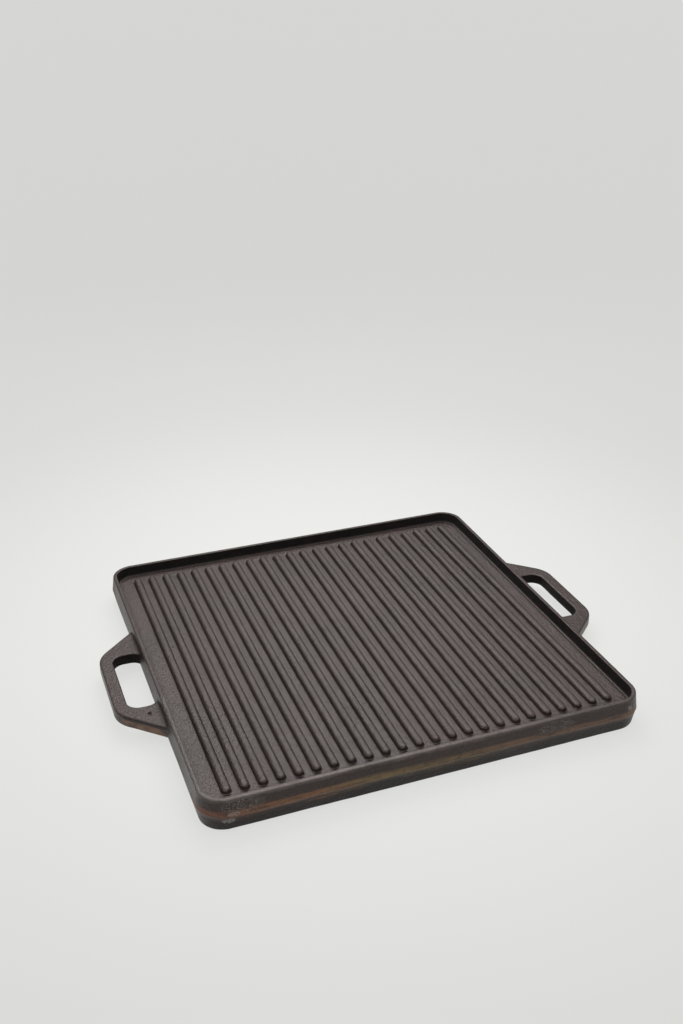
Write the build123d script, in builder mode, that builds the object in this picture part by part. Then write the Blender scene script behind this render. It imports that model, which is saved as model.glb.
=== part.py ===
"""Reversible cast iron griddle plate, lying flat face down with its ribbed grill face up.

The real object is one iron casting. Its named regions are modelled as separate solids that
meet face to face: the plate, the rim around it, the two loop handles and the grill ribs.

Millimetres. The origin is the centre of the footprint, on the surface that the plate rests on.
+X points to the right-hand handle, the ribs run along Y, and +Z is up.
"""

import os

from build123d import *

# Overall sizes of the square body
body_width = 360.0
body_height = 27.3
corner_centre = 160.0  # centre of the rounded corners, from the middle of the body
parting_height = 14.0  # where the two halves of the mould met
parting_bulge = 1.8  # the draft makes the body this much wider there, on each side

# Heights of the two cooking faces
tray_depth = 9.5  # rim top down to the ribbed face
plate_thickness = 6.8

# Rim: widths are measured inwards from the body's side
rim_land = 4.0
tray_wall_foot = 5.0
flat_side_inset = 0.6  # the lower edge stands this much inside the upper one
flat_land_inner = 4.6
flat_wall_foot = 6.0
foot_fillet = 2.0
plate_joint = 8.5  # where the rim region ends and the plate region begins

# Grill ribs
rib_count = 24
rib_pitch = 13.69
rib_width = 7.8
rib_length = 326.0
rib_height = 4.0
rib_draft = 12.0  # degrees
rib_edge_radius = 2.4

# Fine scored lines on the two cooking faces
score_width = 0.8
score_depth = 0.3
flat_score_half = 160.5
ribbed_score_y = 163.6
ribbed_score_length = 326.0

# Loop handles: distances along X are measured outwards from the body's side
handle_bottom = 9.3
handle_thickness = 10.5
handle_reach = 35.5
handle_base_half = 74.0
handle_tip_half = 42.0
handle_shoulder_radius = 25.0
handle_root_radius = 10.0
handle_root_half = 86.0
handle_edge_radius = 2.0
slot_depth = 24.0
slot_length = 77.0
slot_corner_radius = 9.5
root_overlap = 4.5  # the handle is drawn this far into the rim, then cut back to meet it

# Worked out from the above
side = body_width / 2
ribbed_floor = body_height - tray_depth
flat_floor = ribbed_floor - plate_thickness
plate_half = side - plate_joint
plate_corner_radius = plate_half - corner_centre
root_line = side - 0.4  # the root curves start just inside the rim, so their tips aren't knife edges

os.makedirs("parts", exist_ok=True)


def finish_piece(piece, name):
    """Labels a finished region and writes it as its own STEP file."""
    piece.label = name
    export_step(piece, f"parts/{name}.step")


def rim_section(plane):
    """The rim's cross-section, with x across the rim and y up."""
    corners_and_radii = [
        ((side + parting_bulge, parting_height), 2.0),
        ((side, body_height), 1.2),
        ((side - rim_land, body_height), 0.9),
        ((side - tray_wall_foot, ribbed_floor), foot_fillet),
        ((plate_half, ribbed_floor), 0.0),
        ((plate_half, flat_floor), 0.0),
        ((side - flat_wall_foot, flat_floor), foot_fillet),
        ((side - flat_land_inner, 0.0), 0.6),
        ((side - flat_side_inset, 0.0), 1.6),
    ]
    corners = [corner for corner, radius in corners_and_radii]
    radii = [radius for corner, radius in corners_and_radii]
    with BuildSketch(plane) as section:
        with BuildLine():
            FilletPolyline(*corners, radius=radii, close=True)
        make_face()
    return section.sketch


# Rim: one straight side and the corner after it, repeated four times around the body
with BuildPart() as rim_quarter:
    extrude(rim_section(Plane.XZ), amount=corner_centre, both=True)
    revolve(
        rim_section(Plane.XZ.offset(-corner_centre)),
        axis=Axis((corner_centre, corner_centre, 0), (0, 0, 1)),
        revolution_arc=90,
    )

with BuildPart() as rim:
    with PolarLocations(0, 4):
        add(rim_quarter.part)
finish_piece(rim.part, "rim")

# Plate: the slab that carries both cooking faces, with the scored lines cut into them
with BuildPart() as cooking_plate:
    with BuildSketch(Plane.XY.offset(flat_floor)):
        RectangleRounded(2 * plate_half, 2 * plate_half, plate_corner_radius)
    extrude(amount=plate_thickness)
    with BuildSketch(Plane.XY.offset(flat_floor)):
        Rectangle(2 * flat_score_half, 2 * flat_score_half)
        inside_score = 2 * (flat_score_half - score_width)
        Rectangle(inside_score, inside_score, mode=Mode.SUBTRACT)
    extrude(amount=score_depth, mode=Mode.SUBTRACT)
    with BuildSketch(Plane.XY.offset(ribbed_floor)):
        with GridLocations(0, 2 * ribbed_score_y, 1, 2):
            Rectangle(ribbed_score_length, score_width)
    extrude(amount=-score_depth, mode=Mode.SUBTRACT)
finish_piece(cooking_plate.part, "cooking_plate")

# Grill ribs: straight bars with round ends, drafted sides and rounded top edges
for number in range(rib_count):
    rib_x = (number - (rib_count - 1) / 2) * rib_pitch
    with BuildPart() as rib:
        with BuildSketch(Plane((rib_x, 0, ribbed_floor))):
            SlotOverall(rib_length, rib_width, rotation=90)
        extrude(amount=rib_height, taper=rib_draft)
        fillet(rib.faces().sort_by(Axis.Z)[-1].edges(), rib_edge_radius)
    finish_piece(rib.part, f"rib_{number + 1:02d}")

# Handles: a flat loop with a finger slot, cut back to the rim's drafted side
handle_tip = side + handle_reach
handle_root = side - root_overlap
base_run = handle_base_half + (side - root_line) * (handle_base_half - handle_tip_half) / handle_reach
handle_corners = [
    ((handle_root, -handle_root_half), 0.0),
    ((root_line, -handle_root_half), 0.0),
    ((root_line, -base_run), handle_root_radius),
    ((handle_tip, -handle_tip_half), handle_shoulder_radius),
    ((handle_tip, handle_tip_half), handle_shoulder_radius),
    ((root_line, base_run), handle_root_radius),
    ((root_line, handle_root_half), 0.0),
    ((handle_root, handle_root_half), 0.0),
]

with BuildPart() as handle_right:
    with BuildSketch(Plane.XY.offset(handle_bottom)):
        with BuildLine():
            FilletPolyline(
                *[corner for corner, radius in handle_corners],
                radius=[radius for corner, radius in handle_corners],
                close=True,
            )
        make_face()
        with Locations((root_line + slot_depth / 2, 0)):
            RectangleRounded(slot_depth, slot_length, slot_corner_radius, mode=Mode.SUBTRACT)
    extrude(amount=handle_thickness)
    top_edges = handle_right.faces().sort_by(Axis.Z)[-1].edges()
    bottom_edges = handle_right.faces().sort_by(Axis.Z)[0].edges()
    fillet(top_edges + bottom_edges, handle_edge_radius)
    add(rim.part, mode=Mode.SUBTRACT)
finish_piece(handle_right.part, "handle_right")

with BuildPart() as handle_left:
    add(mirror(handle_right.part, about=Plane.YZ, mode=Mode.PRIVATE))
finish_piece(handle_left.part, "handle_left")
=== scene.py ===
import math

import bmesh
import bpy
import numpy as np
from mathutils import Matrix, Vector


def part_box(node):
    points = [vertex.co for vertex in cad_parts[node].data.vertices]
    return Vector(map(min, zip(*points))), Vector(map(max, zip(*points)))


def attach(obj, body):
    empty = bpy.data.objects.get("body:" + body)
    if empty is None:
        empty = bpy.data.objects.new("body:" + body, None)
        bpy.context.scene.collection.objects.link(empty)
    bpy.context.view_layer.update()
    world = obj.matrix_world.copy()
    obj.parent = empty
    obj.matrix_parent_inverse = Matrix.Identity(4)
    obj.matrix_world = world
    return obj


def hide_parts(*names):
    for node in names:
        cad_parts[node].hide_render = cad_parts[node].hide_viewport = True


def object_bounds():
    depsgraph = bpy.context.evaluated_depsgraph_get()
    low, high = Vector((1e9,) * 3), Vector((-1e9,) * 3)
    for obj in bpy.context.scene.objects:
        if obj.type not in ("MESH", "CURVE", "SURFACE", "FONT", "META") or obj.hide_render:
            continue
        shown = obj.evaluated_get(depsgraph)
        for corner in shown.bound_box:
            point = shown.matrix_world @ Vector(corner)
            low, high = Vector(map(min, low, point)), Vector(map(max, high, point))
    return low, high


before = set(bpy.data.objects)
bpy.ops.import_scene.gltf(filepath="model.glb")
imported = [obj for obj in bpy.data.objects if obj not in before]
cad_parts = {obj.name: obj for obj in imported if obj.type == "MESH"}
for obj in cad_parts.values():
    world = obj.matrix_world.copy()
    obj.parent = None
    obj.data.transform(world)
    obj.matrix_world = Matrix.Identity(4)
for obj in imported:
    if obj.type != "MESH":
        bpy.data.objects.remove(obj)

# The looks of a reversible cast iron griddle plate, lying with its ribbed face up. Every region of
# the casting gets a dense mesh with its real fillets, waviness and casting flaws, and they share one
# family of iron materials. Metres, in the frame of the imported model: +X points to the right-hand
# handle, the ribs run along Y, and +Z is up.

MM = 0.001
cad_low, cad_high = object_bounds()
rim_low, rim_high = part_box("rim")
plate_low, plate_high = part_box("cooking_plate")

# ---------------------------------------------------------------- sizes

BULGE = 1.8 * MM                     # the body is this much wider at the parting line
PARTING = 14.0 * MM                  # height of the parting line
PLATE_CORNER = 11.5 * MM             # corner radius where the plate meets the rim
SIDE = rim_high.x - BULGE
RIM_TOP = rim_high.z
RIBBED_FLOOR = plate_high.z
FLAT_FLOOR = plate_low.z
PLATE_HALF = plate_high.x
CORNER = PLATE_HALF - PLATE_CORNER   # centre of the rounded corners, from the middle

# the rim's section: widths are measured inwards from the body's side
RIM_LAND = 4.0 * MM
TRAY_WALL_FOOT = 5.0 * MM
TRAY_FOOT_RADIUS = 1.8 * MM
FLAT_SIDE_INSET = 0.6 * MM
FLAT_LAND_INNER = 4.6 * MM
FLAT_WALL_FOOT = 6.0 * MM
FLAT_FOOT_RADIUS = 2.0 * MM

# the mesh lines along each straight side, and across the rounded border of the plate
STRAIGHT_STEPS = 160
BORDER_STEPS = 23

SCORE_DEPTH = 0.35 * MM
FLAT_SCORE = 160.5 * MM
RIBBED_SCORE = 163.6 * MM

RIB_COUNT = 24
RIB_DRAFT = 0.35 * MM                # how much each side leans in over the rib's height
RIB_FOOT_RADIUS = 0.4 * MM
RIB_FOOT_FLARE = 0.6 * MM
RIB_TOP_RADIUS = 2.9 * MM
RIB_CROWN = 0.20 * MM                # how much lower a rib's top is at its edges than at its middle
RIB_BURIED = 0.6 * MM

ROOT_LINE = SIDE - 0.4 * MM
ROOT_BURIED = 2.0 * MM
HANDLE_TIP_HALF = 42.0 * MM          # half widths of the outline, before its corners are rounded
HANDLE_BASE_HALF = 75.56 * MM
SHOULDER_RADIUS = 25.0 * MM
ROOT_RADIUS = 10.0 * MM
SLOT_DEPTH = 24.0 * MM
SLOT_HALF = 38.5 * MM
SLOT_RADIUS = 9.5 * MM
HANDLE_EDGE = 2.0 * MM
HANDLE_BLEND = 1.3 * MM              # fillet between the handle's faces and the rim

SHARP_ANGLE = math.radians(62)       # edges bent more than this are shaded as sharp


# ---------------------------------------------------------------- noise and relief

def value_noise(points, size, seed):
    """Smooth noise from -1 to 1 at each point, with features of about the given size."""
    lattice = points / size
    base = np.floor(lattice).astype(np.int64)
    part = lattice - base
    blend = part * part * (3 - 2 * part)
    total = np.zeros(len(points))
    for corner in np.ndindex(2, 2, 2):
        # a hash of the lattice point, as a value from -1 to 1
        cell = base + np.array(corner)
        mixed = cell[:, 0] * 73856093 ^ cell[:, 1] * 19349663 ^ cell[:, 2] * 83492791
        mixed = (mixed ^ seed * 26544357) & 0xFFFFFFFF
        mixed = ((mixed ^ (mixed >> 13)) * 1274126177) & 0xFFFFFFFF
        mixed = ((mixed ^ (mixed >> 16)) * 2246822519) & 0xFFFFFFFF
        value = ((mixed ^ (mixed >> 15)) & 0xFFFF) / 0x7FFF - 1
        weight = np.prod(np.where(corner, blend, 1 - blend), axis=1)
        total += value * weight
    return total


def casting_waviness(points):
    """How far a sand-cast face lies below its true place, in metres."""
    broad = 0.10 * MM * (1 + value_noise(points, 34 * MM, 1))
    middling = 0.05 * MM * (1 + value_noise(points, 11 * MM, 2))
    small = 0.025 * MM * (1 + value_noise(points, 4.5 * MM, 3))
    return broad + middling + small


def smooth_step(value, low, high):
    """0 at low, 1 at high, and an S-shaped curve between them."""
    t = np.clip((value - low) / (high - low), 0, 1)
    return t * t * (3 - 2 * t)


# ---------------------------------------------------------------- outlines and meshes

def rounded_path(corners, step, closed, arc_step=math.radians(12)):
    """Points along (x, y, radius) corners, no more than step apart on the straights."""
    count = len(corners)
    pieces = []
    for i, (x, y, radius) in enumerate(corners):
        corner = np.array((x, y))
        inner = closed or 0 < i < count - 1
        if not inner or radius == 0:
            pieces.append(corner[None])
            continue
        to_last = np.array(corners[i - 1][:2]) - corner
        to_next = np.array(corners[(i + 1) % count][:2]) - corner
        to_last /= np.linalg.norm(to_last)
        to_next /= np.linalg.norm(to_next)
        half = math.acos(float(np.clip(to_last @ to_next, -1, 1))) / 2
        middle = to_last + to_next
        centre = corner + middle / np.linalg.norm(middle) * radius / math.sin(half)
        start = corner + to_last * radius / math.tan(half) - centre
        end = corner + to_next * radius / math.tan(half) - centre
        sweep = math.pi - 2 * half
        turns = np.linspace(0, 1, max(2, math.ceil(sweep / arc_step)) + 1)[:, None]
        arc = (np.sin((1 - turns) * sweep) * start + np.sin(turns * sweep) * end) / math.sin(sweep)
        pieces.append(centre + arc)
    points = []
    for i, piece in enumerate(pieces):
        points.extend(piece)
        if i == count - 1 and not closed:
            break
        following = pieces[(i + 1) % count][0]
        gap = following - piece[-1]
        cells = max(1, math.ceil(np.linalg.norm(gap) / step))
        points.extend(piece[-1] + gap * k / cells for k in range(1, cells))
    return np.array(points)


def along(points, count):
    """The same open path with count points, evenly spaced."""
    lengths = np.concatenate(((0,), np.cumsum(np.linalg.norm(np.diff(points, axis=0), axis=1))))
    wanted = np.linspace(0, lengths[-1], count)
    return np.stack([np.interp(wanted, lengths, points[:, k]) for k in range(2)], axis=1)


def lattice_quads(rows, columns, wrap_rows, wrap_columns):
    """Quads between neighbours of a rows x columns lattice of vertices."""
    row = np.arange(rows if wrap_rows else rows - 1)
    column = np.arange(columns if wrap_columns else columns - 1)
    a = row[:, None] * columns + column[None]
    b = row[:, None] * columns + (column[None] + 1) % columns
    c = (row[:, None] + 1) % rows * columns + (column[None] + 1) % columns
    d = (row[:, None] + 1) % rows * columns + column[None]
    return np.stack([k.ravel() for k in (a, b, c, d)], axis=1).tolist()


def build_mesh(name, points, faces):
    """Makes an object. Its faces may be given either way round: they are turned outwards."""
    mesh = bpy.data.meshes.new(name)
    mesh.from_pydata(points.tolist(), [], faces)
    shape = bmesh.new()
    shape.from_mesh(mesh)
    bmesh.ops.recalc_face_normals(shape, faces=shape.faces)
    shape.to_mesh(mesh)
    shape.free()
    mesh.update()
    piece = bpy.data.objects.new(name, mesh)
    bpy.context.scene.collection.objects.link(piece)
    return piece


def push_in(piece, depth):
    """Moves each vertex inwards along its normal by its own depth."""
    mesh = piece.data
    count = len(mesh.vertices)
    places = np.zeros(count * 3)
    normals = np.zeros(count * 3)
    mesh.vertices.foreach_get("co", places)
    mesh.vertices.foreach_get("normal", normals)
    places -= normals * np.repeat(depth, 3)
    mesh.vertices.foreach_set("co", places)
    mesh.update()


def finish_piece(piece, node, material):
    """Shades the piece and puts it in the place of its CAD node."""
    mesh = piece.data
    mesh.shade_smooth()
    mesh.set_sharp_from_angle(angle=SHARP_ANGLE)
    mesh.materials.append(material)
    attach(piece, "root")
    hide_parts(node)


def give_material(piece, material, wanted):
    """Gives another material to the faces whose centres pass a test."""
    index = len(piece.data.materials)
    piece.data.materials.append(material)
    for face in piece.data.polygons:
        if wanted(face.center):
            face.material_index = index


# ---------------------------------------------------------------- casting flaws

HANDLE_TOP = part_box("handle_left")[1].z
GUSSET_PIT = (-0.1898, -0.0498, HANDLE_TOP)

# (place, radius, depth): pits are positive, raised lumps negative
FLAWS = [
    (GUSSET_PIT, 1.4 * MM, 1.4 * MM),
    ((-0.2075, 0.020, HANDLE_TOP), 0.9 * MM, 0.4 * MM),
    ((0.2085, -0.018, HANDLE_TOP), 1.1 * MM, 0.5 * MM),
    ((0.0890, 0.0150, 0.0213), 1.9 * MM, -0.5 * MM),
    ((0.0905, 0.0100, 0.0213), 1.2 * MM, 0.5 * MM),
    ((-0.1435, -0.1210, 0.0200), 1.2 * MM, -0.5 * MM),
    ((-0.1300, -0.1330, 0.0200), 1.0 * MM, -0.4 * MM),
]


def flaw_depth(points):
    """How deep the flaws sink each point."""
    depth = np.zeros(len(points))
    for place, radius, deep in FLAWS:
        distance = np.linalg.norm(points - np.array(place), axis=1)
        depth += deep * np.exp(-((distance / radius) ** 2))
    return depth


# ---------------------------------------------------------------- the casting's regions

def border_lines():
    """Grid lines across the plate: even over the flat, closer together in the rounded border."""
    straight = np.linspace(-CORNER, CORNER, STRAIGHT_STEPS + 1)
    border = CORNER + np.linspace(0, PLATE_CORNER, BORDER_STEPS + 1)[1:]
    return np.concatenate((-border[::-1], straight, border))


def make_plate(material):
    """The slab with both cooking faces, and the fine lines scored into them."""
    lines = border_lines()
    count = len(lines)
    x, y = (k.ravel() for k in np.meshgrid(lines, lines, indexing="ij"))
    # the square lattice's corners are bent on to quarter discs
    u = np.clip((np.abs(x) - CORNER) / PLATE_CORNER, 0, 1)
    v = np.clip((np.abs(y) - CORNER) / PLATE_CORNER, 0, 1)
    in_corner = (u > 0) & (v > 0)
    bent_x = np.sign(x) * (CORNER + PLATE_CORNER * u * np.sqrt(1 - v * v / 2))
    bent_y = np.sign(y) * (CORNER + PLATE_CORNER * v * np.sqrt(1 - u * u / 2))
    x = np.where(in_corner, bent_x, x)
    y = np.where(in_corner, bent_y, y)
    reach = np.hypot(np.maximum(np.abs(x) - CORNER, 0), np.maximum(np.abs(y) - CORNER, 0))
    fade = smooth_step(PLATE_CORNER - reach, 0, 6 * MM)
    inside_score = smooth_step(RIBBED_SCORE + 1 * MM - np.abs(x), 0, 1 * MM)
    near_ribbed = np.clip(1 - np.abs(np.abs(y) - RIBBED_SCORE) / (0.5 * MM), 0, 1) * inside_score
    frame_distance = np.abs(np.maximum(np.abs(x), np.abs(y)) - FLAT_SCORE)
    near_flat = np.clip(1 - frame_distance / (0.5 * MM), 0, 1)
    top = np.stack((x, y, np.full(len(x), RIBBED_FLOOR)), axis=1)
    bottom = np.stack((x, y, np.full(len(x), FLAT_FLOOR)), axis=1)
    top_depth = casting_waviness(top) * fade + SCORE_DEPTH * near_ribbed
    bottom_depth = casting_waviness(bottom) * fade + SCORE_DEPTH * near_flat
    top[:, 2] -= top_depth
    bottom[:, 2] += bottom_depth
    quads = lattice_quads(count, count, False, False)
    under = [[k + count * count for k in quad] for quad in quads]
    edge = np.concatenate((
        np.arange(count) * count,
        (count - 1) * count + np.arange(1, count),
        np.arange(count - 2, -1, -1) * count + count - 1,
        np.arange(count - 2, 0, -1),
    ))
    wall = [
        [int(a), int(a) + count * count, int(b) + count * count, int(b)]
        for a, b in zip(np.roll(edge, -1), edge)
    ]
    piece = build_mesh("cooking_plate_iron", np.concatenate((top, bottom)), quads + under + wall)
    finish_piece(piece, "cooking_plate", material)


def rim_stations():
    """(centre, angle) of each section along one side and round the corner after it.

    They match the points of the plate's edge.
    """
    straight = np.linspace(-CORNER, CORNER, STRAIGHT_STEPS + 1)
    border = np.linspace(0, 1, BORDER_STEPS + 1)[1:]
    first_half = np.arcsin(border / math.sqrt(2))
    angles = np.concatenate((first_half, math.pi / 2 - first_half[-2::-1]))
    stations = [((CORNER, y), 0.0) for y in straight]
    stations += [((CORNER, CORNER), angle) for angle in angles]
    return stations


def make_rim(material, wall_material, lower_material):
    """The wall round both faces, with its foot fillets, rounded lands and parting line."""
    profile = rounded_path(
        [
            (SIDE + BULGE, PARTING, 1.4 * MM),
            (SIDE, RIM_TOP, 1.2 * MM),
            (SIDE - RIM_LAND, RIM_TOP, 0.9 * MM),
            (SIDE - TRAY_WALL_FOOT, RIBBED_FLOOR, TRAY_FOOT_RADIUS),
            (PLATE_HALF, RIBBED_FLOOR, 0),
            (PLATE_HALF, FLAT_FLOOR, 0),
            (SIDE - FLAT_WALL_FOOT, FLAT_FLOOR, FLAT_FOOT_RADIUS),
            (SIDE - FLAT_LAND_INNER, 0, 0.6 * MM),
            (SIDE - FLAT_SIDE_INSET, 0, 1.6 * MM),
        ],
        step=0.8 * MM,
        closed=True,
    )
    rows = []
    for quarter in range(4):
        turn = quarter * math.pi / 2
        spin = np.array(((math.cos(turn), -math.sin(turn)), (math.sin(turn), math.cos(turn))))
        for centre, angle in rim_stations():
            direction = np.array((math.cos(angle), math.sin(angle)))
            flat = np.array(centre) + direction * (profile[:, :1] - CORNER)
            rows.append(np.concatenate((flat @ spin.T, profile[:, 1:]), axis=1))
    points = np.concatenate(rows)
    faces = lattice_quads(len(rows), len(profile), True, True)
    piece = build_mesh("rim_iron", points, faces)
    outward = np.tile(profile[:, 0], len(rows))
    fade = smooth_step(outward - PLATE_HALF, 0.2 * MM, 3 * MM)
    wander = PARTING + 0.35 * MM * value_noise(points, 22 * MM, 5)
    flash_height = 0.5 + 0.5 * value_noise(points * np.array((1, 1, 0)), 9 * MM, 6)
    flash = np.exp(-(((points[:, 2] - wander) / (0.75 * MM)) ** 2)) * flash_height
    outer_side = smooth_step(outward, SIDE - 1.6 * MM, SIDE - 0.4 * MM)
    sunk = 0.28 * MM * (1 - flash) * outer_side
    push_in(piece, (casting_waviness(points) * 1.2 + sunk) * fade + flaw_depth(points))
    finish_piece(piece, "rim", material)

    def outward_of(centre):
        return CORNER + math.hypot(*(max(abs(k) - CORNER, 0) for k in centre[:2]))

    def is_inner_wall(centre):
        on_wall = RIBBED_FLOOR + 0.15 * MM < centre.z < RIM_TOP - 1.0 * MM
        return on_wall and outward_of(centre) < SIDE - 3.0 * MM

    def is_lower_side(centre):
        return centre.z < PARTING - 3.4 * MM and outward_of(centre) > SIDE - 2.5 * MM

    # painted shade: the inner walls get the near-black material and the lower outer side a less shiny
    # copy of the rim's iron
    give_material(piece, wall_material, is_inner_wall)
    give_material(piece, lower_material, is_lower_side)


def bridge_faces(first, side, bend):
    """Closes the middle of a ring that has two straight sides joined by two bends."""
    near = [first + k for k in range(side)]
    far = [first + side + bend + k for k in range(side)][::-1]
    faces = [[near[k], near[k + 1], far[k + 1], far[k]] for k in range(side - 1)]
    faces.append([near[-1]] + [first + side + k for k in range(bend)] + [far[-1]])
    faces.append([far[0]] + [first + 2 * side + bend + k for k in range(bend)] + [near[0]])
    return faces


def make_rib(number, material):
    """One grill rib: drafted sides, a small foot fillet, a softly crowned top and round ends."""
    node = f"rib_{number:02d}"
    low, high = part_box(node)
    half_width = (high.x - low.x) / 2
    height = high.z - low.z
    middle = (low.x + high.x) / 2
    straight_half = (high.y - low.y) / 2 - half_width
    across = rounded_path(
        [
            (half_width + RIB_FOOT_FLARE, -RIB_BURIED, 0),
            (half_width + RIB_FOOT_FLARE, 0, 0),
            (half_width, 0, RIB_FOOT_RADIUS),
            (half_width - RIB_DRAFT, height, RIB_TOP_RADIUS),
            (0.4 * MM, height, 0),
        ],
        step=0.9 * MM,
        closed=False,
        arc_step=math.radians(16),
    )
    side, bend = 150, 11
    turn = np.linspace(0, math.pi, bend + 2)[1:-1]
    run = np.linspace(-straight_half, straight_half, side)
    directions = np.concatenate((np.zeros(side), turn, np.full(side, math.pi), math.pi + turn))
    starts = np.concatenate((run, np.full(bend, straight_half), run[::-1], np.full(bend, -straight_half)))
    rings = []
    for radius, z in across:
        x = middle + radius * np.cos(directions)
        y = starts + radius * np.sin(directions)
        rings.append(np.stack((x, y, np.full(len(x), RIBBED_FLOOR + z)), axis=1))
    count = len(directions)
    points = np.concatenate(rings)
    from_ridge = np.clip(np.repeat(across[:, 0] / half_width, count), 0, 1)
    rise = smooth_step(points[:, 2] - RIBBED_FLOOR, 0, height)
    points[:, 2] -= RIB_CROWN * from_ridge**2 * rise
    faces = lattice_quads(len(rings), count, False, True)
    faces += bridge_faces((len(rings) - 1) * count, side, bend)
    faces += bridge_faces(0, side, bend)
    piece = build_mesh(f"{node}_iron", points, faces)
    above = smooth_step(points[:, 2] - RIBBED_FLOOR, 0, 1.2 * MM)
    uneven = 0.10 * MM * (1 + value_noise(points, 17 * MM, 7))
    push_in(piece, (casting_waviness(points) + uneven) * above + flaw_depth(points))
    finish_piece(piece, node, material)


def split_at_straights(path):
    """Splits arc, straight, arc, straight into its four parts."""
    gaps = np.linalg.norm(np.diff(path, axis=0), axis=1)
    first, second = sorted(int(k) for k in np.argsort(gaps)[-2:])
    return [
        path[: first + 1],
        path[first : first + 2],
        path[first + 1 : second + 1],
        path[second : second + 2],
    ]


def half_outlines():
    """Matched points along half of a handle: its outer outline and its slot's outline."""
    tip = cad_high.x
    outer_corners = [
        (ROOT_LINE, -HANDLE_BASE_HALF - 8 * MM, 0),
        (ROOT_LINE, -HANDLE_BASE_HALF, ROOT_RADIUS),
        (tip, -HANDLE_TIP_HALF, SHOULDER_RADIUS),
        (tip, 0, 0),
    ]
    slot_corners = [
        (ROOT_LINE, 0, 0),
        (ROOT_LINE, -SLOT_HALF, SLOT_RADIUS),
        (ROOT_LINE + SLOT_DEPTH, -SLOT_HALF, SLOT_RADIUS),
        (ROOT_LINE + SLOT_DEPTH, 0, 0),
    ]
    fine = math.radians(3)
    outer = rounded_path(outer_corners, 500 * MM, False, fine)[1:]
    slot = rounded_path(slot_corners, 500 * MM, False, fine)[1:]
    outer_parts = split_at_straights(outer)
    slot_parts = split_at_straights(slot)
    cells = (12, 24, 18, 20)
    matched = []
    for path_parts in (outer_parts, slot_parts):
        resampled = [along(part, n + 1)[:-1] for part, n in zip(path_parts, cells)]
        matched.append(np.concatenate(resampled + [path_parts[-1][-1:]]))
    return matched


def outline_normals(path, sign):
    """Unit normals of a path, to its left for sign 1."""
    tangent = np.gradient(path, axis=0)
    tangent /= np.linalg.norm(tangent, axis=1)[:, None]
    return sign * np.stack((-tangent[:, 1], tangent[:, 0]), axis=1)


def make_handle(node, facing, material, slot_material):
    """A loop handle, facing 1 for the right-hand one and -1 for the left."""
    low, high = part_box(node)
    middle_z = (low.z + high.z) / 2
    half_thick = (high.z - low.z) / 2
    outer_half, slot_half = half_outlines()
    mirror = np.array((1, -1))
    outer = np.concatenate((outer_half, outer_half[-2::-1] * mirror))
    slot = np.concatenate((slot_half, slot_half[-2::-1] * mirror))
    outer_normal = outline_normals(outer, 1)
    slot_normal = outline_normals(slot, -1)
    buried = np.array((-ROOT_BURIED, 0))
    outer = np.concatenate((outer[:1] + buried, outer, outer[-1:] + buried))
    slot = np.concatenate((slot[:1] + buried, slot, slot[-1:] + buried))
    outer_normal = np.concatenate((outer_normal[:1], outer_normal, outer_normal[-1:]))
    slot_normal = np.concatenate((slot_normal[:1], slot_normal, slot_normal[-1:]))
    turns = np.linspace(0, math.pi / 2, 6)
    round_in = HANDLE_EDGE * (1 - np.cos(turns))
    round_up = half_thick - HANDLE_EDGE + HANDLE_EDGE * np.sin(turns)
    side_z = np.linspace(-(half_thick - HANDLE_EDGE), half_thick - HANDLE_EDGE, 8)
    shares = np.linspace(0, 1, 15)[1:-1]
    rows = []
    for outer_place, slot_place, outer_inward, slot_inward in zip(outer, slot, outer_normal, slot_normal):
        slot_edge = [(slot_place + slot_inward * inset, z) for inset, z in zip(round_in, round_up)]
        outer_edge = [(outer_place + outer_inward * inset, z) for inset, z in zip(round_in, round_up)]
        outer_edge.reverse()
        from_edge, to_edge = slot_edge[-1][0], outer_edge[0][0]
        top = [(from_edge + (to_edge - from_edge) * t, half_thick) for t in shares]
        upper = slot_edge + top + outer_edge
        lower = [(place, -z) for place, z in reversed(upper)]
        outer_side = [(outer_place, z) for z in side_z[::-1][1:-1]]
        slot_side = [(slot_place, z) for z in side_z[1:-1]]
        section = upper + outer_side + lower + slot_side
        rows.append([(place[0], place[1], z) for place, z in section])
    points = np.array(rows)
    # the faces flare up and down into the rim over a small fillet
    gap = np.clip(points[:, :, 0] - (SIDE + 0.4 * MM), 0, HANDLE_BLEND)
    flare = HANDLE_BLEND - np.sqrt(HANDLE_BLEND**2 - (HANDLE_BLEND - gap) ** 2)
    points[:, :, 2] = middle_z + points[:, :, 2] * (1 + flare / half_thick)
    section_count = points.shape[1]
    row_count = points.shape[0]
    points = points.reshape(-1, 3)
    points[:, 0] *= facing
    faces = lattice_quads(row_count, section_count, False, True)
    faces.append(list(range(section_count)))
    faces.append([(row_count - 1) * section_count + k for k in range(section_count)])
    piece = build_mesh(f"{node}_iron", points, faces)
    on_side = smooth_step(np.abs(points[:, 2] - middle_z), half_thick, half_thick - HANDLE_EDGE)
    flash = np.exp(-(((points[:, 2] - PARTING) / (0.9 * MM)) ** 2))
    flash *= 0.5 + 0.5 * value_noise(points * np.array((1, 1, 0)), 8 * MM, 8)
    sunk = 0.25 * MM * (1 - flash) * on_side
    push_in(piece, casting_waviness(points) * 1.3 + sunk + flaw_depth(points))
    finish_piece(piece, node, material)

    def is_slot_wall(centre):
        within_depth = abs(centre.x) < ROOT_LINE + SLOT_DEPTH + 1.2 * MM
        within_length = abs(centre.y) < SLOT_HALF + 1.2 * MM
        return within_depth and within_length and abs(centre.z - middle_z) < half_thick - 0.9 * MM

    # painted shade: the slot's walls get the near-black material
    give_material(piece, slot_material, is_slot_wall)


# ---------------------------------------------------------------- materials

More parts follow.
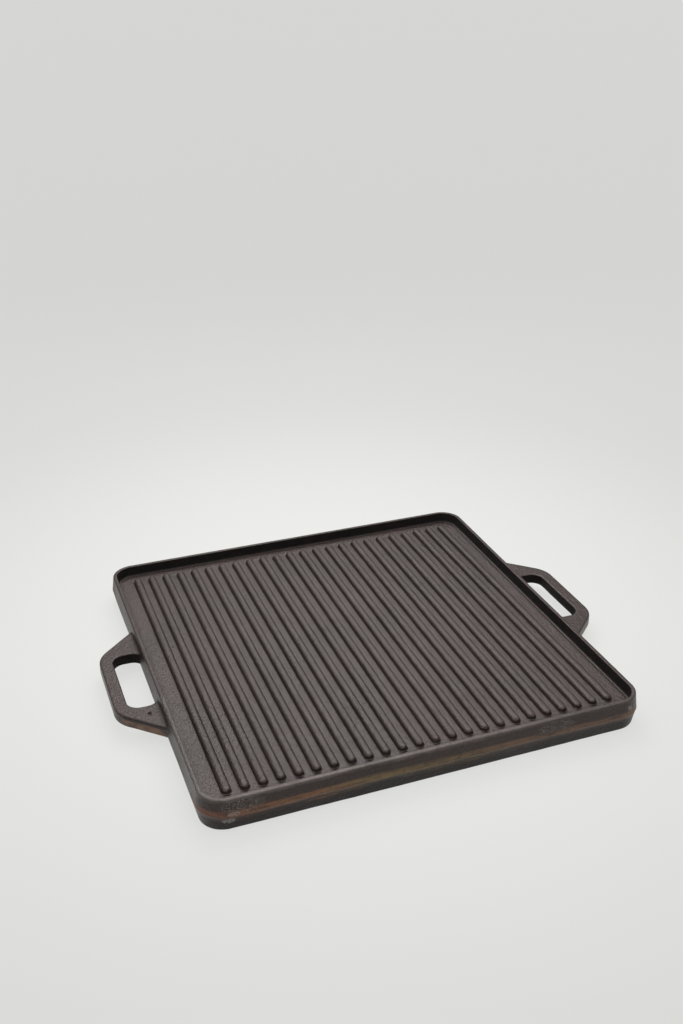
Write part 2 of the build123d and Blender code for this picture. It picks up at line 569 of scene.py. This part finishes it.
class Shader:
    """The nodes of a material or a world. Sockets are passed about as plain values."""

    def __init__(self, owner, coordinates="Object"):
        owner.use_nodes = True
        self.owner = owner
        self.tree = owner.node_tree
        self.tree.nodes.clear()
        self.place = self.add("ShaderNodeTexCoord").outputs[coordinates]
        self.x, self.y, self.z = self.add("ShaderNodeSeparateXYZ", {0: self.place}).outputs

    def add(self, kind, inputs=None, **settings):
        node = self.tree.nodes.new(kind)
        for key, value in settings.items():
            setattr(node, key, value)
        for key, value in (inputs or {}).items():
            socket = node.inputs[key]
            if isinstance(value, bpy.types.NodeSocket):
                self.tree.links.new(value, socket)
            else:
                socket.default_value = value
        return node

    def math(self, operation, *values):
        node = self.add("ShaderNodeMath", dict(enumerate(values)), operation=operation)
        return node.outputs[0]

    def product(self, value, *others):
        for other in others:
            value = self.math("MULTIPLY", value, other)
        return value

    def largest(self, value, *others):
        for other in others:
            value = self.math("MAXIMUM", value, other)
        return value

    def vector(self, operation, *values, output=0):
        node = self.add("ShaderNodeVectorMath", dict(enumerate(values)), operation=operation)
        return node.outputs[output]

    def noise(self, size, detail=4.0, roughness=0.55, stretch=(1, 1, 1)):
        """Noise from 0 to 1 with features of about the given size in metres."""
        where = self.vector("MULTIPLY", self.place, stretch)
        inputs = {"Vector": where, "Scale": 1 / size, "Detail": detail, "Roughness": roughness}
        return self.add("ShaderNodeTexNoise", inputs).outputs["Fac"]

    def cells(self, size):
        """The distance to the nearest of many scattered points, smoothed."""
        inputs = {"Vector": self.place, "Scale": 1 / size}
        return self.add("ShaderNodeTexVoronoi", inputs, feature="SMOOTH_F1").outputs["Distance"]

    def centred(self, noise, reach):
        """Moves noise to lie between -reach and reach."""
        return self.math("MULTIPLY_ADD", noise, 2 * reach, -reach)

    def ramp(self, value, low, high, start=0.0, end=1.0):
        """Smoothly maps value from low..high to start..end."""
        inputs = {"Value": value, "From Min": low, "From Max": high, "To Min": start, "To Max": end}
        return self.add("ShaderNodeMapRange", inputs, interpolation_type="SMOOTHSTEP").outputs[0]

    def between(self, value, rise, fall):
        """1 between two (start, end) limits, rising to 1 in the first and falling in the second."""
        return self.product(self.ramp(value, *rise), self.ramp(value, *reversed(fall)))

    def mix(self, factor, first, second):
        inputs = {0: factor, 6: first, 7: second}
        node = self.add("ShaderNodeMix", inputs, data_type="RGBA")
        return node.outputs[2]

    def blob(self, centre, size, ragged=0.5, grain=12 * MM):
        """1 inside a ragged patch round a place, 0 outside it. size is its half extents."""
        scaled = self.vector("DIVIDE", self.vector("SUBTRACT", self.place, centre), size)
        distance = self.vector("LENGTH", scaled, output=1)
        edge = self.centred(self.noise(grain, 5, 0.65), ragged)
        return self.ramp(self.math("ADD", distance, edge), 1.15, 0.8)

    def finish(self, colour, roughness, bumps, specular, tint=(1, 1, 1, 1)):
        """Ends a material. bumps are (height, distance in metres) pairs."""
        inputs = {"Base Color": colour, "Roughness": roughness}
        inputs |= {"Specular IOR Level": specular, "Specular Tint": tint}
        for height, distance in bumps:
            bump = {"Height": height, "Distance": distance, "Strength": 1.0}
            if "Normal" in inputs:
                bump["Normal"] = inputs["Normal"]
            inputs["Normal"] = self.add("ShaderNodeBump", bump).outputs[0]
        self.surface = self.add("ShaderNodeBsdfPrincipled", inputs)
        self.add("ShaderNodeOutputMaterial", {"Surface": self.surface.outputs[0]})
        return self.owner


IRON_DARK = (0.0135, 0.0080, 0.0066, 1)
IRON_BROWN = (0.026, 0.0155, 0.0125, 1)
IRON_GREY = (0.040, 0.031, 0.028, 1)
RUST_RED = (0.165, 0.060, 0.032, 1)
RUST_ORANGE = (0.200, 0.090, 0.042, 1)
RUST_OCHRE = (0.160, 0.108, 0.048, 1)
RUST_BROWN = (0.140, 0.080, 0.050, 1)
HANDLE_RUST = (0.150, 0.085, 0.052, 1)
BARE_GREY = (0.26, 0.26, 0.235, 1)
# paler brown for the front land: rubbing wear and a painted highlight
WORN_AND_HIGHLIT_BROWN = (0.088, 0.073, 0.066, 1)
# near-black colours of painted shade: in grooves and creases, in the gusset pit, on the rim's inner walls
# and lower side, and in the handle slots
SHADE_BLACK = (0.0040, 0.0028, 0.0024, 1)
SHADE_BLACK_DEEP = (0.0040, 0.0028, 0.0022, 1)
SHADE_BLACK_SOFT = (0.0100, 0.0065, 0.0050, 1)
OIL_BROWN = (0.0085, 0.0030, 0.0020, 1)
SHEEN = (1.0, 0.905, 0.89, 1)        # the faint warm tint of the seasoning's shine


def iron_shader(name):
    return Shader(bpy.data.materials.new(name))


def pebble_bumps(shader, strength=1.0):
    """The grain that moulding sand leaves: millimetre pebbles, finer grit and shallow dimples."""
    pebbles = shader.noise(1.9 * MM, 3.5, 0.65)
    grit = shader.noise(0.9 * MM, 2.0, 0.6)
    dimples = shader.cells(4.2 * MM)
    return [
        (dimples, 0.14 * MM * strength),
        (pebbles, 0.80 * MM * strength),
        (grit, 0.22 * MM * strength),
    ]


def iron_colour(shader):
    """Oil-seasoned iron: dark brown with fine grey grain, a little uneven from place to place."""
    clouds = shader.ramp(shader.noise(60 * MM, 6, 0.6), 0.3, 0.72)
    grain = shader.ramp(shader.noise(2.0 * MM, 4, 0.7), 0.42, 0.66)
    flecks = shader.ramp(shader.noise(2.6 * MM, 4, 0.7), 0.60, 0.72)
    colour = shader.mix(clouds, IRON_DARK, IRON_BROWN)
    colour = shader.mix(shader.product(grain, 0.55), colour, IRON_GREY)
    return shader.mix(shader.product(flecks, 0.35), colour, IRON_GREY)


def iron_roughness(shader, low=0.29, high=0.35):
    broad = shader.ramp(shader.noise(50 * MM, 3, 0.5), 0.3, 0.7, low, high)
    fine = shader.centred(shader.noise(2.2 * MM, 3, 0.65), 0.10)
    return shader.math("ADD", broad, fine)


def cooking_iron():
    """Both cooking faces and the ribs, with the oil patch on the flat face."""
    shader = iron_shader("seasoned iron, cooking faces")
    flat_side = shader.ramp(shader.z, FLAT_FLOOR + 2 * MM, FLAT_FLOOR + 1 * MM)
    patch = shader.blob((-0.055, 0.045, FLAT_FLOOR), (0.120, 0.075, 0.05), 0.55, 40 * MM)
    oil = shader.product(patch, flat_side)

    # painted shade: the scored lines and the feet of the ribs are darkened towards near black
    from_middle = shader.math("ABSOLUTE", shader.y)
    from_score = shader.math("ABSOLUTE", shader.math("SUBTRACT", from_middle, RIBBED_SCORE))
    scored = shader.ramp(from_score, 0.75 * MM, 0.35 * MM)
    scored = shader.product(scored, shader.math("SUBTRACT", 1.0, flat_side))
    above_floor = shader.math("SUBTRACT", shader.z, RIBBED_FLOOR)
    rib_foot_shade = shader.between(above_floor, (0.15 * MM, 0.5 * MM), (0.4 * MM, 1.7 * MM))
    groove_and_foot_shade = shader.largest(scored, rib_foot_shade)

    colour = shader.mix(oil, iron_colour(shader), OIL_BROWN)
    # painted shade in the scored lines and along the rib feet
    colour = shader.mix(shader.product(groove_and_foot_shade, 0.85), colour, SHADE_BLACK)
    roughness = shader.math("MULTIPLY_ADD", oil, -0.20, iron_roughness(shader))
    return shader.finish(colour, roughness, pebble_bumps(shader), 0.5, SHEEN)


def on_outer_side(shader):
    """1 on the rim's outer side, 0 on its lands and inside them."""
    beyond = []
    for along_axis in (shader.x, shader.y):
        past_corner = shader.math("SUBTRACT", shader.math("ABSOLUTE", along_axis), CORNER)
        beyond.append(shader.math("POWER", shader.math("MAXIMUM", past_corner, 0.0), 2.0))
    outward = shader.math("SQRT", shader.math("ADD", *beyond))
    return shader.ramp(outward, SIDE - CORNER - 2.4 * MM, SIDE - CORNER - 1.6 * MM)


def parting_band(shader, level, outer, streaked):
    """Where the parting line was ground off and has rusted since, in level streaks."""
    streaks = shader.ramp(shader.noise(2.6 * MM, 5, 0.7, streaked), 0.32, 0.58, 0.15, 1.0)
    breaks = shader.ramp(shader.noise(6 * MM, 4, 0.7), 0.34, 0.52, 0.55, 1.0)
    patches = shader.ramp(shader.noise(40 * MM, 3, 0.5), 0.40, 0.62, 0.0, 0.55)
    from_line = shader.math("SUBTRACT", level, PARTING)
    main = shader.between(from_line, (-2.8 * MM, -0.4 * MM), (2.2 * MM, 5.0 * MM))
    lower = shader.between(from_line, (-6.6 * MM, -4.8 * MM), (-3.8 * MM, -2.2 * MM))
    near_ends = shader.ramp(shader.math("ABSOLUTE", shader.y), 0.130, 0.168, 0.06, 1.0)
    both = shader.largest(shader.product(main, breaks), shader.product(lower, patches))
    return shader.product(both, streaks, outer, near_ends)


def rust_colour(shader):
    """Red near the front left corner, then orange, ochre along the middle, and brown further on."""
    spread = shader.centred(shader.noise(30 * MM, 4, 0.6), 0.05)
    x = shader.math("ADD", shader.x, spread)
    rust = shader.mix(shader.ramp(x, -0.175, -0.125), RUST_RED, RUST_ORANGE)
    rust = shader.mix(shader.ramp(x, -0.100, -0.050), rust, RUST_OCHRE)
    return shader.mix(shader.ramp(x, 0.010, 0.080), rust, RUST_BROWN)


def rim_scuffs(shader):
    """Pale speckles on the front near both corners, and along the left land."""
    speckle = shader.ramp(shader.noise(0.9 * MM, 3, 0.75), 0.53, 0.63)
    near_corner = shader.blob((-0.150, -SIDE, 0.0205), (0.017, 0.02, 0.0055), 0.45, 8 * MM)
    along_left = shader.blob((-SIDE, -0.105, 0.0262), (0.02, 0.070, 0.0040), 0.6, 14 * MM)
    near_right = shader.blob((0.100, -SIDE, 0.0205), (0.016, 0.02, 0.0045), 0.5, 8 * MM)
    return shader.product(speckle, shader.largest(near_corner, along_left, near_right))


def rim_spots(shader):
    """Three pale spots on the front, two near its left corner and one near its right."""
    high = shader.blob((-0.158, -SIDE, 0.0150), (0.0050, 0.01, 0.0017), 0.55, 5 * MM)
    low = shader.blob((-0.162, -SIDE, 0.0092), (0.0050, 0.01, 0.0022), 0.60, 5 * MM)
    right = shader.blob((0.166, -SIDE, 0.0195), (0.0025, 0.01, 0.0022), 0.60, 4 * MM)
    broken = shader.ramp(shader.noise(1.6 * MM, 3, 0.7), 0.34, 0.60)
    return shader.product(shader.largest(high, low, right), broken)


def worn_and_highlit_land(shader):
    """The front land is paler, partly rubbing wear and partly a painted highlight, with a ragged lower
    limit on its outer edge.
    """
    ragged = shader.centred(shader.noise(7 * MM, 4, 0.65), 2.2 * MM)
    height = shader.math("ADD", shader.z, ragged)
    on_land = shader.ramp(height, RIM_TOP - 3.2 * MM, RIM_TOP - 1.4 * MM)
    facing_front = shader.ramp(shader.y, -0.150, -0.172)
    less_to_the_right = shader.ramp(shader.x, 0.00, 0.13, 1.0, 0.45)
    uneven = shader.ramp(shader.noise(24 * MM, 4, 0.6), 0.30, 0.62, 0.35, 1.0)
    return shader.product(on_land, facing_front, less_to_the_right, uneven)


def rim_painted_shade(shader, level, outer):
    """Painted shade on the lower part of the outer side, and on the walls inside the rim."""
    lower_side = shader.ramp(level, PARTING - 1.5 * MM, PARTING - 7 * MM)
    foot = (RIBBED_FLOOR + 0.4 * MM, RIBBED_FLOOR + 1.6 * MM)
    top = (RIM_TOP - 1.5 * MM, RIM_TOP - 0.5 * MM)
    inner_wall = shader.between(shader.z, foot, top)
    inside = shader.math("SUBTRACT", 1.0, outer)
    return shader.largest(shader.product(lower_side, outer), shader.product(inner_wall, inside))


def rim_iron(place, specular):
    """The rim: sand grain, a ground and rusted parting line, rubbing with a painted highlight, painted
    shade and pale scuffs.
    """
    shader = iron_shader(f"seasoned iron, {place}")
    outer = on_outer_side(shader)
    streaked = (0.10, 0.10, 1)
    wander = shader.centred(shader.noise(9 * MM, 3, 0.5, streaked), 2.2 * MM)
    level = shader.math("ADD", shader.z, wander)
    band = parting_band(shader, level, outer, streaked)
    colour = iron_colour(shader)
    layers = (
        # painted shade on the lower outer side and on the inner walls
        (rim_painted_shade(shader, level, outer), 0.85, SHADE_BLACK),
        # paler front land: rubbing wear and a painted highlight on its outer edge
        (worn_and_highlit_land(shader), 0.85, WORN_AND_HIGHLIT_BROWN),
        (band, 0.80, rust_colour(shader)),
        (rim_scuffs(shader), 0.60, BARE_GREY),
        (rim_spots(shader), 0.55, BARE_GREY),
    )
    for amount, strength, tone in layers:
        colour = shader.mix(shader.product(amount, strength), colour, tone)
    roughness = shader.math("MULTIPLY_ADD", band, 0.15, iron_roughness(shader, 0.30, 0.40))
    return shader.finish(colour, roughness, pebble_bumps(shader, 0.7), specular, SHEEN)


def handle_iron():
    """The handles: rust on the slanting sides, under a dark crease of painted shade below the top edge,
    with painted shade in the gusset pit too.
    """
    shader = iron_shader("seasoned iron, handles")
    below_top = shader.math("SUBTRACT", HANDLE_TOP, shader.z)
    off_slot = shader.ramp(shader.math("ABSOLUTE", shader.y), SLOT_HALF + 3 * MM, SLOT_HALF + 9 * MM)
    on_left = shader.ramp(shader.x, 0.02, -0.02, 0.35, 1.0)
    stains = shader.ramp(shader.noise(10 * MM, 6, 0.65), 0.30, 0.62)
    below_edge = shader.ramp(below_top, 2.2 * MM, 3.6 * MM)
    rusty = shader.product(below_edge, stains, off_slot, on_left)
    # painted shade: a near-black band under the top edge, and in the gusset pit
    crease = shader.between(below_top, (0.7 * MM, 1.5 * MM), (2.8 * MM, 4.2 * MM))
    hollow = shader.blob(GUSSET_PIT, (0.0013, 0.0017, 0.0040), 0.25, 3 * MM)
    dark = shader.largest(shader.product(crease, off_slot), hollow)
    colour = shader.mix(shader.product(rusty, 0.9), iron_colour(shader), HANDLE_RUST)
    colour = shader.mix(shader.product(dark, 0.9), colour, SHADE_BLACK)
    roughness = shader.math("MULTIPLY_ADD", hollow, 0.45, iron_roughness(shader, 0.28, 0.38))
    bumps = pebble_bumps(shader, 0.8) + [(hollow, -1.0 * MM)]
    return shader.finish(colour, roughness, bumps, 0.40, SHEEN)


def shade_black_iron(place, specular):
    """Walls painted near black as painted shade, in rougher iron."""
    shader = iron_shader(f"shade-black iron, {place}")
    clouds = shader.ramp(shader.noise(9 * MM, 5, 0.6), 0.35, 0.7)
    colour = shader.mix(clouds, SHADE_BLACK_DEEP, SHADE_BLACK_SOFT)
    roughness = iron_roughness(shader, 0.6, 0.75)
    return shader.finish(colour, roughness, pebble_bumps(shader, 0.8), specular)


# ---------------------------------------------------------------- floor, light and camera

FLOOR_HALF = 40.0
FLOOR_BRIGHTEST = (0.0, 0.05, 0)
BRIGHTER_SKY = (-0.58, 0.62, 0.53)   # the direction in which the sky is a little brighter


def make_floor():
    """A wide pale floor that glows faintly, as a light table does, so that shadows stay soft."""
    shader = Shader(bpy.data.materials.new("pale floor"))
    tone = shader.mix(shader.noise(0.9, 2), (0.098, 0.098, 0.096, 1), (0.102, 0.102, 0.100, 1))
    from_brightest = shader.vector("SUBTRACT", shader.place, FLOOR_BRIGHTEST)
    distance = shader.vector("LENGTH", from_brightest, output=1)
    glow = shader.ramp(distance, 0.10, 0.62, 0.668, 0.535)
    material = shader.finish(tone, 0.8, [(shader.noise(4 * MM, 2), 0.01 * MM)], 0.1)
    shader.surface.inputs["Emission Color"].default_value = (0.99, 1.0, 0.97, 1)
    shader.tree.links.new(glow, shader.surface.inputs["Emission Strength"])
    half = FLOOR_HALF
    corners = np.array(((-half, -half, 0), (half, -half, 0), (half, half, 0), (-half, half, 0)))
    floor = build_mesh("floor", corners, [[0, 1, 2, 3]])
    floor.data.materials.append(material)


def make_world():
    """Soft light, brightest overhead, with a little more of it from behind on the left."""
    world = bpy.data.worlds.new("soft overhead light")
    bpy.context.scene.world = world
    sky = Shader(world, "Generated")
    overhead = sky.ramp(sky.z, 0.42, 0.76, 0.15, 1.75)
    toward = sky.vector("DOT_PRODUCT", sky.place, BRIGHTER_SKY, output=1)
    strength = sky.product(overhead, sky.ramp(toward, 0.70, 0.97, 1.0, 1.15))
    inputs = {"Color": (1.0, 0.995, 0.985, 1), "Strength": strength}
    background = sky.add("ShaderNodeBackground", inputs)
    sky.add("ShaderNodeOutputWorld", {"Surface": background.outputs[0]})


def make_light(name, place, target, size, power):
    """A square soft box at a place, aimed at a target."""
    data = bpy.data.lights.new(name, "AREA")
    data.size = size
    data.energy = power
    light = bpy.data.objects.new(name, data)
    bpy.context.scene.collection.objects.link(light)
    light.location = place
    light.rotation_euler = (Vector(target) - Vector(place)).to_track_quat("-Z", "Y").to_euler()


def make_camera():
    """The photograph's viewpoint: in front, a little to the left, looking down."""
    position = Vector((-0.3006, -0.7925, 0.5600))
    yaw, pitch, roll = (math.radians(a) for a in (21.02, 26.57, 0.06))
    forward = Vector((math.sin(yaw) * math.cos(pitch), math.cos(yaw) * math.cos(pitch), -math.sin(pitch)))
    level = Vector((math.cos(yaw), -math.sin(yaw), 0))
    upright = level.cross(forward)
    right = level * math.cos(roll) + upright * math.sin(roll)
    up = upright * math.cos(roll) - level * math.sin(roll)
    data = bpy.data.cameras.new("camera")
    data.lens = 40.18
    data.sensor_width = 36
    data.shift_x = -0.0155
    data.shift_y = 0.0031
    camera = bpy.data.objects.new("camera", data)
    bpy.context.scene.collection.objects.link(camera)
    turn = Matrix((right, up, -forward)).transposed().to_4x4()
    camera.matrix_world = Matrix.Translation(position) @ turn
    bpy.context.scene.camera = camera


# ---------------------------------------------------------------- putting it together

cooking_material = cooking_iron()
rim_material = rim_iron("rim", 0.40)
# a less shiny copy of the rim's iron: painted shade for the lower side
lower_material = rim_iron("lower side of the rim", 0.25)
handle_material = handle_iron()
# near-black, less shiny materials: painted shade in the handle slots and on the rim's inner walls
slot_material = shade_black_iron("handle slots", 0.12)
wall_material = shade_black_iron("inner walls of the rim", 0.30)

make_plate(cooking_material)
make_rim(rim_material, wall_material, lower_material)
for rib_number in range(1, RIB_COUNT + 1):
    make_rib(rib_number, cooking_material)
make_handle("handle_right", 1, handle_material, slot_material)
make_handle("handle_left", -1, handle_material, slot_material)

make_floor()
make_world()
make_light("soft box", (0.12, 0.52, 0.72), (0.0, -0.10, 0), 0.6, 4.8)
make_camera()
bpy.context.scene.view_settings.view_transform = "Standard"
